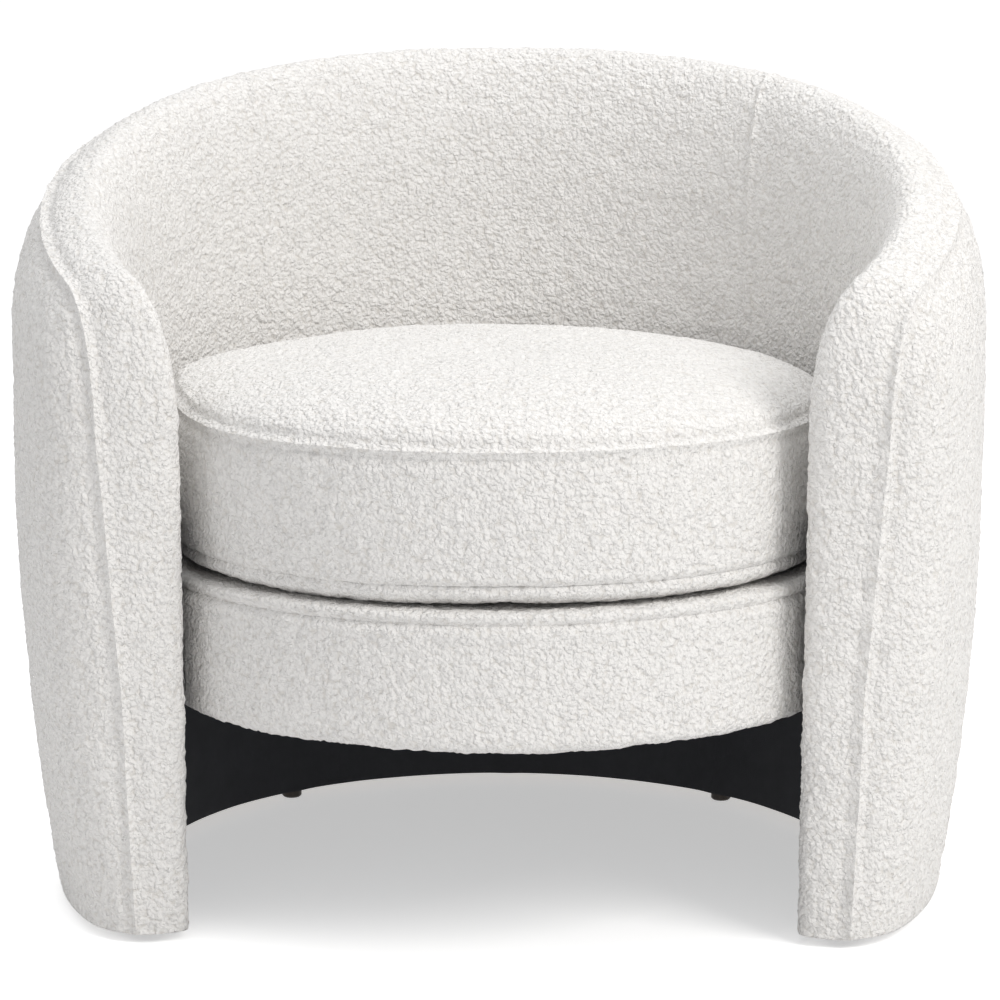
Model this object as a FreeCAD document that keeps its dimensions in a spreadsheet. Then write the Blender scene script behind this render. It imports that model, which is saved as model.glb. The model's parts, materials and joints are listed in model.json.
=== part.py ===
"""Barrel armchair: a C-shaped upholstered shell, a round seat base bolted inside it and a loose round cushion.

Every sub-part is drawn about the upright axis of the shell, with the front of the chair towards -Y, and is then
shifted along Y by centre_shift, so that the origin is the middle of the chair's footprint on the floor. All
sizes are in millimetres.
"""
import FreeCAD, Part
import math
import os

import Sketcher
from FreeCAD import Placement, Rotation, Vector

doc = FreeCAD.newDocument("armchair")

# ---------------------------------------------------------------- driving dimensions

SIZES = {
    "overall_width": (800, "across the bulge of the arms"),
    "wall_thick": (99, "upholstered wall at the bulge"),
    "bulge_height": (332, "where the outside is widest"),
    "foot_taper": (36, "how far the outside draws in at the floor"),
    "floor_gap": (7, "floor to the underside of the wall"),
    "back_height": (686, "top of the rim at the back"),
    "arm_height": (520, "top of the rim at the arm fronts"),
    "rim_bow": (12, "how far the sloping rim arches above a straight line"),
    "arm_angle": (125, "half angle of the shell, from the back to an arm front"),
    "end_round": (30, "rounding of the arm fronts"),
    "rim_round": (43, "rounding of the rim's edges"),
    "seam_inset": (26, "outside cover's seam, in from the outer surface"),
    "back_panel_angle": (45, "half angle of the inside back panel"),
    "cover_thick": (3, "boucle cover"),
    "layer_gap": (0.5, "air between one layer and the next"),
    "outer_foam": (12, "foam outside the outer board"),
    "inner_foam": (25, "foam on the inner board"),
    "rim_foam": (35, "foam roll on the top rail"),
    "board_thick": (3, "bent hardboard"),
    "ply_thick": (18, "plywood of rings and ribs"),
    "rail_thick": (22, "top rail"),
    "rib_pitch": (39.5, "angle from one rib to the next"),
    "lining_thick": (1, "black cambric"),
    "seat_ring_height": (292, "underside of the seat-level ring"),
    "turn_under": (20, "cover folded under the wall"),
    "seat_clearance": (11, "seat base to the inside of the wall"),
    "seat_bottom": (174, "underside of the seat base"),
    "seat_top": (285, "top of the deck"),
    "lip_depth": (15, "seam under the deck's lip, below the deck"),
    "deck_foam": (21.5, "foam of the deck"),
    "lip_round": (10, "rounding of the deck's lip"),
    "band_angle": (95, "half angle of the side band, from the front"),
    "band_foam": (8, "foam under the side band"),
    "hoop_thick": (12, "bent plywood hoop"),
    "burlap_thick": (1, "burlap over the springs"),
    "rail_offset": (170, "spring rails, from the axis"),
    "rail_wide": (24, "spring rails, along Y"),
    "rail_drop": (10, "spring rails, below the top of the hoop"),
    "rail_lift": (14.5, "spring rails, above the foot of the hoop"),
    "corner_block": (45, "legs of the glue blocks"),
    "wire_thick": (3.8, "spring wire"),
    "spring_pitch": (66, "spacing of the springs"),
    "spring_count": (5, "number of springs, an odd one"),
    "spring_loop": (19, "length of half a spring loop"),
    "spring_wide": (44, "width of a spring"),
    "clip_wide": (16, "spring clips"),
    "clip_thick": (1.5, "spring clips' plate"),
    "block_wide": (40, "mounting blocks"),
    "block_margin": (14, "mounting blocks, inside the seat base's height"),
    "bolt_thick": (8, "mounting bolts"),
    "bolt_length": (60, "mounting bolts, under the head"),
    "head_wide": (15, "mounting bolts' heads"),
    "head_high": (5.3, "mounting bolts' heads"),
    "screw_thick": (4.5, "frame screws"),
    "screw_length": (60, "frame screws"),
    "screw_head": (9, "frame screws' heads"),
    "glide_wide": (18, "glides"),
    "glide_inset": (12, "glides' centres, out from the inside of the wall"),
    "screw_inset": (32, "frame screws, out from the inside of the wall"),
    "nail_thick": (3, "glides' nails"),
    "nail_length": (14, "glides' nails"),
    "cushion_inset": (10, "loose cushion's seams, in from the seat base's side"),
    "cushion_shift": (6, "cushion's centre, forward of the shell's axis"),
    "cushion_tuck": (33, "rounded edge of the cushion's underside"),
    "cushion_edge": (45, "rounding of the cushion's lower edge"),
    "underside_rise": (16.7, "seam of the bottom panel, above the underside"),
    "boxing_high": (100, "side of the cushion, from seam to seam"),
    "crown_rise": (46, "crown of the cushion, above its top seam"),
    "boxing_bulge": (4, "how far the boxing swells"),
    "panel_thick": (2, "cushion cover"),
    "wrap_thick": (12, "fibre wrap round the core"),
    "rest_gap": (0.3, "cushion above the deck"),
    "zip_angle": (40, "half angle of the zip"),
    "tape_wide": (26, "both zip tapes together"),
    "tape_thick": (0.8, "zip tape"),
    "teeth_wide": (6, "closed zip coil"),
    "teeth_thick": (1.6, "closed zip coil"),
    "slider_long": (11, "zip slider"),
    "slider_wall": (1.3, "zip slider's plates"),
    "slider_gap": (0.4, "play of the slider on the coil"),
    "lug_long": (5, "slider's bridge, which holds the pull"),
    "lug_reach": (4.2, "how far the bridge stands out"),
    "pull_long": (13, "zip pull"),
    "pull_wide": (6, "zip pull"),
    "pull_thick": (1.2, "zip pull"),
    "pivot_thick": (1.6, "round bar that the pull swings on"),
}

sheet = doc.addObject("Spreadsheet::Sheet", "sizes")
for row, (name, (number, note)) in enumerate(SIZES.items(), start=1):
    sheet.set(f"A{row}", name)
    sheet.set(f"B{row}", str(number))
    sheet.setAlias(f"B{row}", name)
    sheet.set(f"C{row}", note)
doc.recompute()


def worth(expression):
    """The number an expression stands for now."""
    found = sheet.evalExpression(expression)
    return float(getattr(found, "Value", found))


# ---------------------------------------------------------------- places that follow from the sheet

OUTER = "(sizes.overall_width / 2)"
INNER = "(sizes.overall_width / 2 - sizes.wall_thick)"
SEAT = f"({INNER} - sizes.seat_clearance)"
CUSHION = f"({SEAT} - sizes.cushion_inset)"
CENTRE_SHIFT = f"(({SEAT} - {OUTER}) / 2)"
GAP = "sizes.layer_gap"

# how deep each layer's face lies under the outer surface
PADDING = f"(sizes.cover_thick + {GAP})"
BOARD_OUT = f"({PADDING} + sizes.outer_foam + {GAP})"
FRAME_OUT = f"({BOARD_OUT} + sizes.board_thick + {GAP})"
BOARD_IN = f"({PADDING} + sizes.inner_foam + {GAP})"
FRAME_IN = f"({BOARD_IN} + sizes.board_thick + {GAP})"
LOW_FRAME_IN = f"(sizes.lining_thick + {GAP})"
RAIL_TOP = f"({PADDING} + sizes.rim_foam + {GAP})"
RAIL_UNDER = f"({RAIL_TOP} + sizes.rail_thick)"

FLOOR_RING = f"(sizes.floor_gap + {PADDING})"
FLOOR_RING_TOP = f"({FLOOR_RING} + sizes.ply_thick)"
SEAT_RING_TOP = "(sizes.seat_ring_height + sizes.ply_thick)"
FOAM_BOTTOM = f"({SEAT_RING_TOP} + {GAP})"
SKY = "(sizes.back_height + 100)"

# heights of the seat base and the cushion
HOOP_TOP = f"(sizes.seat_top - {PADDING} - sizes.deck_foam - sizes.burlap_thick - 2 * {GAP})"
RAIL_TOP_SIDE = f"({HOOP_TOP} - sizes.rail_drop)"
SEAT_SEAM = "(sizes.seat_top - sizes.lip_depth)"
CUSHION_LOW = "(sizes.seat_top + sizes.rest_gap)"
LOW_SEAM = f"({CUSHION_LOW} + sizes.underside_rise)"
TOP_SEAM = f"({LOW_SEAM} + sizes.boxing_high)"
CROWN = f"({TOP_SEAM} + sizes.crown_rise)"
ZIP_LINE = f"(({LOW_SEAM} + {TOP_SEAM}) / 2)"
REACH = f"({OUTER} + 100)"

LAST_RIB = 3
RIBS = range(-LAST_RIB, LAST_RIB + 1)
GLIDE_RIBS = [rib for rib in RIBS if rib != 0]
BOLT_RIBS = (-2, -1, 1, 2)
SIDES = {"left": 1, "right": -1}

# half angles of the frame, which ends flush with the last ribs, and of what ends just past it
RIB_INSIDE = f"({INNER} + {LOW_FRAME_IN})"
FRAME_END = f"({LAST_RIB} * sizes.rib_pitch + asin(sizes.ply_thick / 2 / {RIB_INSIDE}) / 1 deg)"
LINING_END = f"({FRAME_END} + 0.15)"
FOAM_END = f"({FRAME_END} + 0.3)"

# ---------------------------------------------------------------- drawing helpers


def body(name):
    """An empty body that may hold several separate solids."""
    made = doc.addObject("PartDesign::Body", name)
    made.AllowCompound = True
    return made


def sketch_on(owner, role, corners, arcs=None):
    """A closed outline on one of the body's origin planes.

    corners are pairs of expressions, anticlockwise. arcs gives, for the side that starts at a corner, its radius:
    positive where it bulges out of the outline, negative where it curves in.
    """
    arcs = arcs or {}
    sketch = owner.newObject("Sketcher::SketchObject", f"{owner.Name}_outline")
    plane = next(item for item in owner.Origin.OriginFeatures if item.Role == role)
    sketch.AttachmentSupport = [(plane, "")]
    sketch.MapMode = "FlatFace"
    points = [Vector(worth(across), worth(up), 0) for across, up in corners]
    ends = []
    for index, start in enumerate(points):
        stop = points[(index + 1) % len(points)]
        if index in arcs:
            radius = worth(arcs[index])
            chord = stop - start
            side = 1 if radius > 0 else -1
            left = Vector(-chord.y, chord.x, 0).normalize()
            centre = (start + stop) * 0.5 + left * side * math.sqrt(radius ** 2 - (chord.Length / 2) ** 2)
            first, last = (start, stop) if side > 0 else (stop, start)
            angles = [math.atan2(p.y - centre.y, p.x - centre.x) for p in (first, last)]
            circle = Part.Circle(centre, Vector(0, 0, 1), abs(radius))
            sketch.addGeometry(Part.ArcOfCircle(circle, *angles), False)
            ends.append((1, 2) if side > 0 else (2, 1))
        else:
            sketch.addGeometry(Part.LineSegment(start, stop), False)
            ends.append((1, 2))
    for index in range(len(points)):
        following = (index + 1) % len(points)
        sketch.addConstraint(Sketcher.Constraint("Coincident", index, ends[index][1], following, ends[following][0]))
    for index, (across, up) in enumerate(corners):
        for kind, expression in (("DistanceX", across), ("DistanceY", up)):
            rule = Sketcher.Constraint(kind, -1, 1, index, ends[index][0], worth(expression))
            number = sketch.addConstraint(rule)
            sketch.setExpression(f"Constraints[{number}]", expression)
    for index, radius in arcs.items():
        number = sketch.addConstraint(Sketcher.Constraint("Radius", index, abs(worth(radius))))
        sketch.setExpression(f"Constraints[{number}]", f"abs({radius})")
    return sketch


def turned(owner, corners, arcs=None, half_angle="180"):
    """Turns an outline of (distance from the axis, height) about Z, as far to one side of the back as the other."""
    sketch = sketch_on(owner, "YZ_Plane", corners, arcs)
    feature = owner.newObject("PartDesign::Revolution", f"{owner.Name}_turn")
    feature.Profile = sketch
    feature.ReferenceAxis = (sketch, ["V_Axis"])
    feature.Midplane = True
    feature.setExpression("Angle", f"2 * {half_angle}")
    sketch.Visibility = False
    return feature


def below(height, depth):
    """Radius of the outer surface at a height, drawn in by depth."""
    bulge = bulge_radius()
    return f"({OUTER} - {depth} - {bulge} + sqrt({bulge} ^ 2 - (sizes.bulge_height - {height}) ^ 2))"


def bulge_radius():
    """Radius of the arc from the floor to the bulge, upright where it reaches the bulge."""
    return "(((sizes.bulge_height - sizes.floor_gap) ^ 2 + sizes.foot_taper ^ 2) / (2 * sizes.foot_taper))"


def wall(low, high, inner=None, outer=None, inner_depth=None, outer_depth=None):
    """Outline of an upright layer. A side at a depth follows the bulge; a side at a radius is upright."""
    corners = []
    arcs = {}
    if outer_depth is None:
        corners += [(outer, low), (outer, high)]
    else:
        upright = f"({OUTER} - {outer_depth})"
        arcs[0] = bulge_radius()
        corners += [(below(low, outer_depth), low), (upright, "sizes.bulge_height"), (upright, high)]
    if inner_depth is None:
        corners += [(inner, high), (inner, low)]
    else:
        upright = f"({OUTER} - {inner_depth})"
        corners += [(upright, high), (upright, "sizes.bulge_height")]
        arcs[len(corners) - 1] = f"-{bulge_radius()}"
        corners += [(below(low, inner_depth), low)]
    return corners, arcs


def rim_circle():
    """The circle, in side view, that the rim follows: its middle's Y and Z, and its radius."""
    back_y = f"({OUTER} - sizes.wall_thick / 2)"
    front_y = f"({back_y} * cos(sizes.arm_angle))"
    run = f"({back_y} - {front_y})"
    rise = "(sizes.back_height - sizes.arm_height)"
    chord = f"sqrt({run} ^ 2 + {rise} ^ 2)"
    radius = f"({chord} ^ 2 / (8 * sizes.rim_bow) + sizes.rim_bow / 2)"
    drop = f"(({radius} - sizes.rim_bow) / {chord})"
    middle_y = f"(({back_y} + {front_y}) / 2 + {rise} * {drop})"
    middle_z = f"((sizes.back_height + sizes.arm_height) / 2 - {run} * {drop})"
    return middle_y, middle_z, radius


def rim_at(across, depth):
    """Height of the rim at a Y, lowered by depth."""
    middle_y, middle_z, radius = rim_circle()
    return f"({middle_z} + sqrt(({radius} - {depth}) ^ 2 - ({across} - {middle_y}) ^ 2))"


def above_rim(depth):
    """Outline, in side view, of everything above the rim lowered by depth."""
    radius = f"({rim_circle()[2]} - {depth})"
    corners = [(f"(-{REACH})", rim_at(f"(-{REACH})", depth)), (REACH, rim_at(REACH, depth))]
    corners += [(REACH, f"2 * {SKY}"), (f"(-{REACH})", f"2 * {SKY}")]
    return corners, {0: f"-{radius}"}


def under_rim(depth):
    """Outline, in side view, of everything below the rim lowered by depth."""
    radius = f"({rim_circle()[2]} - {depth})"
    corners = [(f"(-{REACH})", f"(-{REACH})"), (REACH, f"(-{REACH})")]
    corners += [(REACH, rim_at(REACH, depth)), (f"(-{REACH})", rim_at(f"(-{REACH})", depth))]
    return corners, {2: radius}


def through(owner, kind, outline):
    """Pads or pockets a side-view outline right across the chair."""
    corners, arcs = outline
    sketch = sketch_on(owner, "YZ_Plane", corners, arcs)
    feature = owner.newObject(f"PartDesign::{kind}", f"{owner.Name}_across")
    feature.Profile = sketch
    feature.SideType = "Symmetric"
    feature.setExpression("Length", f"2 * {REACH}")
    sketch.Visibility = False
    return feature


def ring(name, outline, half_angle="180", rim_depth=None, turn=None):
    """A layer turned about the axis, cut to the slope of the rim where it reaches it, and swung round by turn."""
    owner = body(name)
    corners, arcs = outline
    turned(owner, corners, arcs, half_angle)
    if rim_depth is not None:
        through(owner, "Pocket", above_rim(rim_depth))
    if turn is not None:
        swing(owner, turn)
    return owner


def swing(item, angle):
    """Turns an object about the axis of the shell."""
    item.Placement = Placement(Vector(), Rotation(Vector(0, 0, 1), worth(angle)))
    item.setExpression("Placement.Rotation.Angle", f"{angle} * 1 deg")
    return item


def envelope(name, depth):
    """The whole upholstered wall, drawn in by depth all round."""
    owner = body(name)
    mean = f"({OUTER} - sizes.wall_thick / 2)"
    corners, arcs = wall(f"(sizes.floor_gap + {depth})", SKY, inner=f"({INNER} + {depth})", outer_depth=depth)
    turned(owner, corners, arcs, f"(sizes.arm_angle - {depth} / {mean} * 180 / pi)")
    through(owner, "Pocket", above_rim(depth))
    doc.recompute()
    rounded(owner, long_edges_of(is_rim), f"(min(sizes.rim_round; 0.45 * sizes.wall_thick) - {depth})")
    doc.recompute()
    foot = "0.48 * (sizes.wall_thick - sizes.foot_taper)"
    ends = long_edges_of(is_arm_front, above=f"(sizes.floor_gap + {depth})")
    rounded(owner, ends, f"(min(sizes.end_round; {foot}) - {depth})")
    return owner


def is_arm_front(face):
    """An upright flat face."""
    return isinstance(face.Surface, Part.Plane) and abs(face.Surface.Axis.z) < 1e-6


def is_rim(face):
    """The sloping top face, a piece of a cylinder that lies across the chair."""
    return isinstance(face.Surface, Part.Cylinder) and abs(face.Surface.Axis.x) > 1 - 1e-6


def long_edges_of(wanted, above=None):
    """A rule that picks edges of wanted faces: all those above a height, or the ones that run along the slope."""

    def pick(shape):
        edges = [edge for face in shape.Faces if wanted(face) for edge in face.Edges]
        if above is None:
            return [edge for edge in edges if edge.BoundBox.ZLength > worth("sizes.wall_thick")]
        return [edge for edge in edges if edge.BoundBox.ZMax > worth(above) + 1]

    return pick


def rounded(owner, pick, radius):
    """Rounds the picked edges of a body's last feature."""
    base = owner.Tip
    picked = pick(base.Shape)
    names = [f"Edge{index}" for index, edge in enumerate(base.Shape.Edges, start=1) if any(map(edge.isSame, picked))]
    feature = owner.newObject("PartDesign::Fillet", f"{owner.Name}_round")
    feature.Base = (base, names)
    feature.setExpression("Radius", radius)
    return feature


def combined(kind, name, base, *tools):
    """Part booleans one after another: Cut takes every tool off the base, Common keeps what lies in all of them."""
    for index, tool in enumerate(tools):
        last = index == len(tools) - 1
        made = doc.addObject(f"Part::{kind}", name if last else f"{name}_{index}")
        made.Base = base
        made.Tool = tool
        base = made
    return base


def group(name, prototype, turns):
    """Copies of one piece, swung round the axis, as separate solids of one node."""
    made = doc.addObject("Part::Compound", name)
    copies = []
    for turn in turns:
        copy = doc.addObject("App::Link", f"{name}_copy")
        copy.LinkedObject = prototype
        swing(copy, turn)
        copies.append(copy)
    made.Links = copies
    return made


def rib_angle(rib):
    """Angle of a rib from the back, positive towards the left arm."""
    return f"({rib} * sizes.rib_pitch)"


def box(name, long, wide, high, middle_x, middle_y, low):
    """A block given by its three sizes, the middle of its base and its lowest level."""
    made = doc.addObject("Part::Box", name)
    for key, expression in (("Length", long), ("Width", wide), ("Height", high)):
        made.setExpression(key, expression)
    made.setExpression("Placement.Base.x", f"{middle_x} - {long} / 2")
    made.setExpression("Placement.Base.y", f"{middle_y} - {wide} / 2")
    made.setExpression("Placement.Base.z", low)
    return made


def rod(name, radius, length, place, axis):
    """A cylinder that starts at a place (three expressions) and points along Y or along X."""
    made = doc.addObject("Part::Cylinder", name)
    made.setExpression("Radius", radius)
    made.setExpression("Height", length)
    made.Placement.Rotation = Rotation(Vector(0, 0, 1), axis)
    for key, expression in zip("xyz", place):
        made.setExpression(f"Placement.Base.{key}", expression)
    return made


# ---------------------------------------------------------------- the parts that are written out

NODES = []


def node(item, name=None):
    """Marks an object as a sub-part and shifts it so that the origin is the middle of the footprint."""
    if name is not None:
        item.Label = name
    item.setExpression("Placement.Base.y", CENTRE_SHIFT)
    NODES.append(item)
    return item


# ---------------------------------------------------------------- mounting bolts and frame screws

BLOCK_LOW = "(sizes.seat_bottom + sizes.block_margin)"
BLOCK_TOP = f"({HOOP_TOP} - sizes.block_margin)"
BOLT_HEIGHT = f"(({BLOCK_LOW} + {BLOCK_TOP}) / 2)"
BAND_FOAM_OUT = f"({SEAT} - {PADDING})"
HOOP_OUT = f"({BAND_FOAM_OUT} - sizes.band_foam - {GAP})"
HOOP_IN = f"({HOOP_OUT} - sizes.hoop_thick)"


def mounting_bolts():
    """Hexagon bolts through the hoop and a block into a rib."""
    shank = rod("bolt_shank", "sizes.bolt_thick / 2", "sizes.bolt_length", ("0", HOOP_IN, BOLT_HEIGHT), Vector(0, 1, 0))
    head = doc.addObject("Part::Prism", "bolt_head")
    head.Polygon = 6
    head.setExpression("Circumradius", "sizes.head_wide / 2")
    head.setExpression("Height", "sizes.head_high")
    head.Placement.Rotation = Rotation(Vector(0, 0, 1), Vector(0, 1, 0))
    head.setExpression("Placement.Base.y", f"{HOOP_IN} - sizes.head_high")
    head.setExpression("Placement.Base.z", BOLT_HEIGHT)
    bolt = combined("Fuse", "mounting_bolt", shank, head)
    return group("bolt_row", bolt, [rib_angle(rib) for rib in BOLT_RIBS])


def frame_screws():
    """Countersunk screws up through the bottom ring into each rib."""
    owner = body("frame_screw")
    head = "sizes.screw_head / 2"
    shank = "sizes.screw_thick / 2"
    sink = f"({FLOOR_RING} + {head} - {shank})"
    top = f"({FLOOR_RING} + sizes.screw_length)"
    turned(owner, [("0", FLOOR_RING), (head, FLOOR_RING), (shank, sink), (shank, top), ("0", top)])
    return group_at("screw_row", owner, f"({INNER} + sizes.screw_inset)", RIBS)


def group_at(name, prototype, radius, ribs):
    """Copies of an upright piece, at a radius, under each of some ribs."""
    made = doc.addObject("Part::Compound", name)
    copies = []
    for rib in ribs:
        copy = doc.addObject("App::Link", f"{name}_copy")
        copy.LinkedObject = prototype
        copy.setExpression("Placement.Base.x", f"-{radius} * sin({rib_angle(rib)})")
        copy.setExpression("Placement.Base.y", f"{radius} * cos({rib_angle(rib)})")
        copies.append(copy)
    made.Links = copies
    return made


def glides():
    """Round glides with a nail, under every rib but the back one."""
    owner = body("glide")
    foot = "sizes.glide_wide / 2"
    nail = "sizes.nail_thick / 2"
    top = f"({FLOOR_RING} + sizes.nail_length)"
    corners = [("0", "0"), (f"{foot} - 1.5", "0"), (foot, "1.5"), (foot, FLOOR_RING), (nail, FLOOR_RING)]
    turned(owner, corners + [(nail, top), ("0", top)])
    return group_at("glide_row", owner, f"({INNER} + sizes.glide_inset)", GLIDE_RIBS)


def as_node(name, tool):
    """A node with the shape of an object that also cuts its own holes."""
    made = doc.addObject("Part::Compound", name)
    made.Links = [tool]
    return node(made)


bolts = mounting_bolts()
screws = frame_screws()
feet = glides()
as_node("mounting_bolts", bolts)
as_node("frame_screws", screws)
as_node("glides", feet)

# ---------------------------------------------------------------- wooden frame of the shell



def plain_ring(low, high, inner, outer):
    """Outline of a flat ring."""
    return [(inner, low), (outer, low), (outer, high), (inner, high)], {}


def rib(number):
    """An upright plywood board, wide up to the seat ring and stepped back above it, cut to the top rail."""
    owner = body(f"rib_blank_{number + len(RIBS)}")
    upper = f"({INNER} + {FRAME_IN})"
    outside = f"({OUTER} - {FRAME_OUT})"
    corners = [(RIB_INSIDE, FLOOR_RING_TOP), (below(FLOOR_RING_TOP, FRAME_OUT), FLOOR_RING_TOP)]
    corners += [(outside, "sizes.bulge_height"), (outside, SKY), (upper, SKY)]
    corners += [(upper, "sizes.seat_ring_height"), (RIB_INSIDE, "sizes.seat_ring_height")]
    pad = owner.newObject("PartDesign::Pad", f"{owner.Name}_board")
    pad.Profile = sketch_on(owner, "YZ_Plane", corners, {1: bulge_radius()})
    pad.SideType = "Symmetric"
    pad.setExpression("Length", "sizes.ply_thick")
    return swing(owner, rib_angle(number))


RIB_NAMES = {
    -3: "rib_arm_right",
    -2: "rib_side_right",
    -1: "rib_back_right",
    0: "rib_back",
    1: "rib_back_left",
    2: "rib_side_left",
    3: "rib_arm_left",
}

head_room = body("above_ribs")
through(head_room, "Pad", above_rim(RAIL_UNDER))

rib_blanks = {number: rib(number) for number in RIBS}
for number, blank in rib_blanks.items():
    tools = [head_room, screws] + ([bolts] if number in BOLT_RIBS else [])
    node(combined("Cut", RIB_NAMES[number], blank, *tools))

base_blank = ring("base_blank", plain_ring(FLOOR_RING, FLOOR_RING_TOP, RIB_INSIDE, below(FLOOR_RING, FRAME_OUT)), FRAME_END)
node(combined("Cut", "base_ring", base_blank, screws, feet))

seat_ring_outer = f"({OUTER} - {FRAME_OUT} - 1)"
seat_blank = ring("seat_blank", plain_ring("sizes.seat_ring_height", SEAT_RING_TOP, RIB_INSIDE, seat_ring_outer), FRAME_END)
node(combined("Cut", "seat_ring", seat_blank, *rib_blanks.values()))

top_rail = ring("top_rail", plain_ring(SEAT_RING_TOP, SKY, f"({INNER} + {FRAME_IN})", f"({OUTER} - {FRAME_OUT})"),
                FRAME_END, RAIL_TOP)
through(top_rail, "Pocket", under_rim(RAIL_UNDER))
node(top_rail)

board_back = f"({BOARD_OUT} + sizes.board_thick)"
node(ring("outer_board", wall(FLOOR_RING, SKY, inner_depth=board_back, outer_depth=BOARD_OUT), FRAME_END, RAIL_TOP))
board_front = f"({INNER} + {BOARD_IN})"
node(ring("inner_board", plain_ring(FOAM_BOTTOM, SKY, board_front, f"({board_front} + sizes.board_thick)"), FRAME_END,
          RAIL_TOP))

# ---------------------------------------------------------------- foam of the shell

FRONT_HALF = f"((180 - {FOAM_END}) / 2)"
FRONT_TURN = f"((180 + {FOAM_END}) / 2)"
ARM_HALF = "((180 - sizes.back_panel_angle) / 2)"
ARM_TURN = "((180 + sizes.back_panel_angle) / 2)"


def everything(low="(-10)"):
    """Outline of the full height of the chair, from the axis out to beyond its widest."""
    return [("0", low), (REACH, low), (REACH, SKY), ("0", SKY)], {}


padding = envelope("padding", PADDING)

outer_layer = ring("outer_layer", wall(FLOOR_RING, SKY, inner_depth=f"({BOARD_OUT} - {GAP})", outer=REACH), FRAME_END, RAIL_TOP)
node(combined("Common", "outer_foam", padding, outer_layer))

inner_layer = ring("inner_layer", plain_ring(FOAM_BOTTOM, SKY, f"({INNER} - 20)", f"({board_front} - {GAP})"), FRAME_END, RAIL_TOP)
inside_foam = combined("Common", "inside_foam", padding, inner_layer)
back_wedge = ring("back_wedge", everything(), "sizes.back_panel_angle")
node(combined("Common", "inside_back_foam", inside_foam, back_wedge))

above_frame = body("above_frame")
through(above_frame, "Pad", above_rim(f"({RAIL_TOP} - {GAP})"))
above_boards = body("above_boards")
through(above_boards, "Pad", above_rim(RAIL_TOP))
node(combined("Common", "rim_foam", padding, above_frame))

arm_wedges = {}
for side, sign in SIDES.items():
    arm_wedges[side] = ring(f"arm_wedge_{side}", everything(), ARM_HALF, turn=f"({sign} * {ARM_TURN})")
    node(combined("Common", f"inside_arm_foam_{side}", inside_foam, arm_wedges[side]))
    front_wedge = ring(f"front_wedge_{side}", everything(), FRONT_HALF, turn=f"({sign} * {FRONT_TURN})")
    front_foam = combined("Common", f"front_foam_{side}", padding, front_wedge)
    node(combined("Cut", f"arm_front_foam_{side}", front_foam, above_boards))

# ---------------------------------------------------------------- covers of the shell

block_edges = f"({INNER} + sizes.cover_thick + {GAP} / 2)"
skin = combined("Cut", "skin", envelope("boucle", "0"), envelope("inside_of_boucle", "sizes.cover_thick"))
lining_space = ring("lining_space", plain_ring("(-10)", FOAM_BOTTOM, f"({INNER} - 20)", block_edges), LINING_END)
turn_edge = f"({below('sizes.floor_gap', '0')} - sizes.turn_under)"
open_bottom = ring("open_bottom", plain_ring("(-10)", f"({FLOOR_RING} - {GAP} / 2)", f"({INNER} - 20)", turn_edge), LINING_END)
cover = combined("Cut", "cover", skin, lining_space, open_bottom)
outside = ring("outside", wall("(-10)", f"({SKY} + 10)", inner_depth="sizes.seam_inset", outer=f"({REACH} + 10)"))
node(combined("Common", "outside_cover", cover, outside))
outside_and_seam = wall("(-10)", f"({SKY} + 10)", inner_depth=f"(sizes.seam_inset + {GAP} / 2)", outer=f"({REACH} + 10)")
inside_cover = combined("Cut", "inside_cover", cover, ring("outside_and_seam", outside_and_seam))
node(combined("Common", "inside_back_cover", inside_cover, back_wedge))
for side in SIDES:
    node(combined("Common", f"inside_arm_cover_{side}", inside_cover, arm_wedges[side]))

# ---------------------------------------------------------------- seat base

HOOP_LOW = f"(sizes.seat_bottom + {PADDING})"
BURLAP_LOW = f"({HOOP_TOP} + {GAP})"
DECK_FOAM_LOW = f"({BURLAP_LOW} + sizes.burlap_thick + {GAP})"
RETURN_IN = f"({SEAT} - sizes.turn_under)"
FRONT = "180"


def flat_disc(low, high, radius):
    """Outline of a flat disc about the axis."""
    return [("0", low), (radius, low), (radius, high), ("0", high)], {}


hoop_blank = ring("hoop_blank", plain_ring(HOOP_LOW, HOOP_TOP, HOOP_IN, HOOP_OUT))
node(combined("Cut", "seat_hoop", hoop_blank, bolts))

block_half = f"(asin(sizes.block_wide / 2 / {HOOP_OUT}) / 1 deg)"
block_in, block_out = f"({HOOP_OUT} + {GAP} / 2)", f"({RIB_INSIDE} - {GAP} / 2)"
block_outline = plain_ring(BLOCK_LOW, BLOCK_TOP, block_in, block_out)
block = ring("mounting_block", block_outline, block_half)
blocks = group("mounting_block_row", block, [rib_angle(rib) for rib in BOLT_RIBS])
node(combined("Cut", "mounting_blocks", blocks, bolts))

lining_outline = plain_ring("sizes.floor_gap", SEAT_RING_TOP, INNER, f"({INNER} + sizes.lining_thick)")
lining = ring("lining_sheet", lining_outline, f"({LINING_END} - 0.05)")
node(combined("Cut", "cambric_lining", lining, blocks))

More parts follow.
